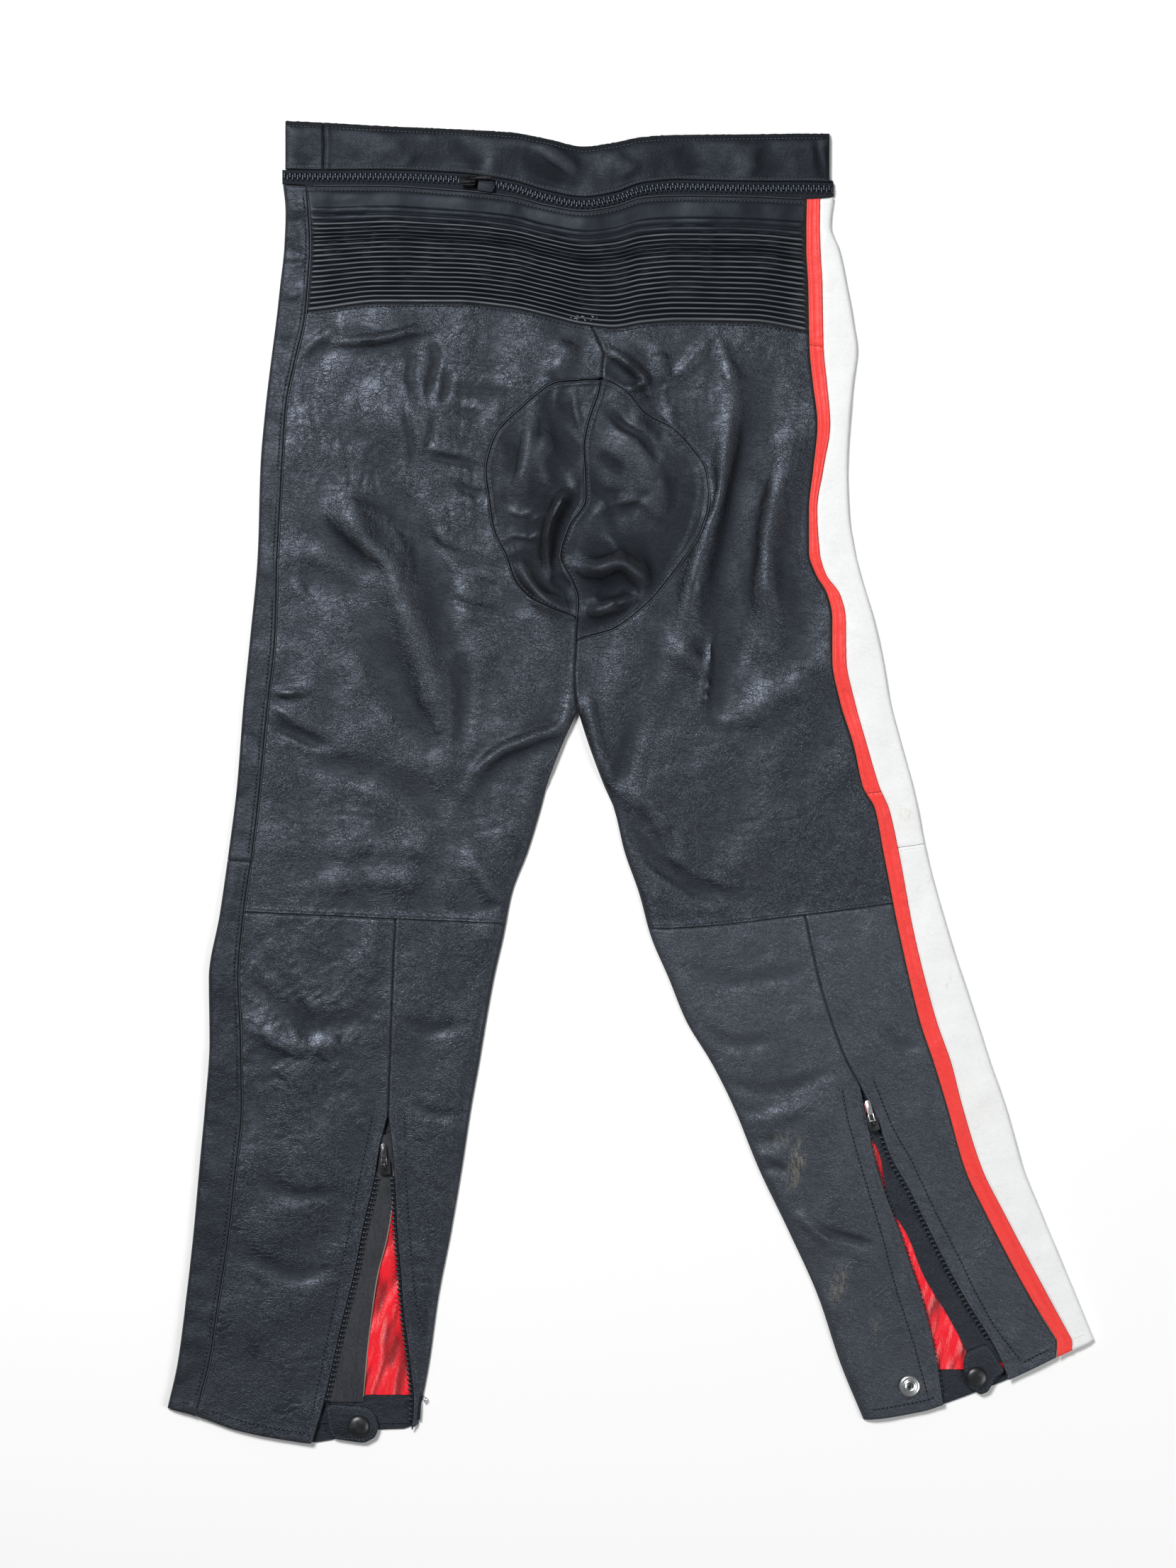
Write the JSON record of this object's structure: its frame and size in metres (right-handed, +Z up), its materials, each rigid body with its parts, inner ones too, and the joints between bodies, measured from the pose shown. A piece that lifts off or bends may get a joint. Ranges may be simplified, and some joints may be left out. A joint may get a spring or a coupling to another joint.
{
  "type": "leather motorcycle pants laid flat",
  "caption": "Leather motorcycle pants laid flat, back side up, with ribbed stretch panel, seat patches, striped side, waist zip and open ankle zips.",
  "frame": {"origin": "middle of the outline, on the floor under the garment", "axes": "+Y up the garment from the hems to the waist, +X to the wearer's right as it lies back up, +Z up from the floor"},
  "size_m": [0.718, 1.0249, 0.0168],
  "materials": {
    "black_leather": "semi-gloss, worn",
    "white_leather": "semi-gloss, worn",
    "red_leather": "semi-gloss",
    "stretch_leather": "semi-gloss ribs",
    "zip_tape": "woven tape with moulded teeth",
    "gusset_cloth": "matte",
    "satin_lining": "satin",
    "dark_metal": "satin",
    "bright_metal": "polished"
  },
  "bodies": {
    "garment": {"connector_strip_back": "black_leather", "connector_strip_end": "black_leather", "connector_strip_front": "black_leather", "waist_zip_back": "zip_tape", "waist_zip_front": "zip_tape", "waist_zip_slider": "dark_metal", "waist_zip_box": "dark_metal", "stretch_panel": "stretch_leather", "back_left": "black_leather", "back_right": "black_leather", "seat_patch_left": "black_leather", "seat_patch_right": "black_leather", "side_left_upper": "black_leather", "side_left_lower": "black_leather", "stripe_red_top": "red_leather", "stripe_red_middle": "red_leather", "stripe_red_lower": "red_leather", "side_white_upper": "white_leather", "side_white_lower": "white_leather", "calf_left_outer": "black_leather", "calf_left_inner": "black_leather", "calf_right_inner": "black_leather", "calf_right_outer": "black_leather", "zip_left_outer": "zip_tape", "zip_left_inner": "zip_tape", "zip_left_slider": "dark_metal", "zip_right_inner": "zip_tape", "zip_right_outer": "zip_tape", "zip_right_slider": "bright_metal", "gusset_left": "gusset_cloth", "gusset_right": "black_leather", "lining_left": "satin_lining", "lining_right": "satin_lining", "hem_facing_left": "black_leather", "tab_left": "black_leather", "tab_right": "black_leather", "snap_cap_left": "dark_metal", "snap_cap_right": "dark_metal", "snap_stud_left": "bright_metal", "snap_ring_right": "bright_metal", "front_left": "black_leather", "front_right": "black_leather"},
    "waist_pull": {"waist_zip_pull": "dark_metal"},
    "left_ankle_pull": {"zip_left_pull": "dark_metal"},
    "right_ankle_pull": {"zip_right_pull": "bright_metal"}
  },
  "joints": [
    {"name": "waist_pull_hinge", "type": "hinge", "parent": "garment", "child": "waist_pull", "pos_m": [-0.124, 0.46776, 0.01412], "axis": [0, -0.5736, 0.8192], "range_deg": [0, 150]},
    {"name": "left_ankle_pull_hinge", "type": "hinge", "parent": "garment", "child": "left_ankle_pull", "pos_m": [-0.19044, -0.29551, 0.0098], "axis": [0.9976, 0.0698, 0], "range_deg": [0, 150]},
    {"name": "right_ankle_pull_hinge", "type": "hinge", "parent": "garment", "child": "right_ankle_pull", "pos_m": [0.18698, -0.26157, 0.013], "axis": [0.9659, 0.2588, 0], "range_deg": [0, 150]}
  ]
}
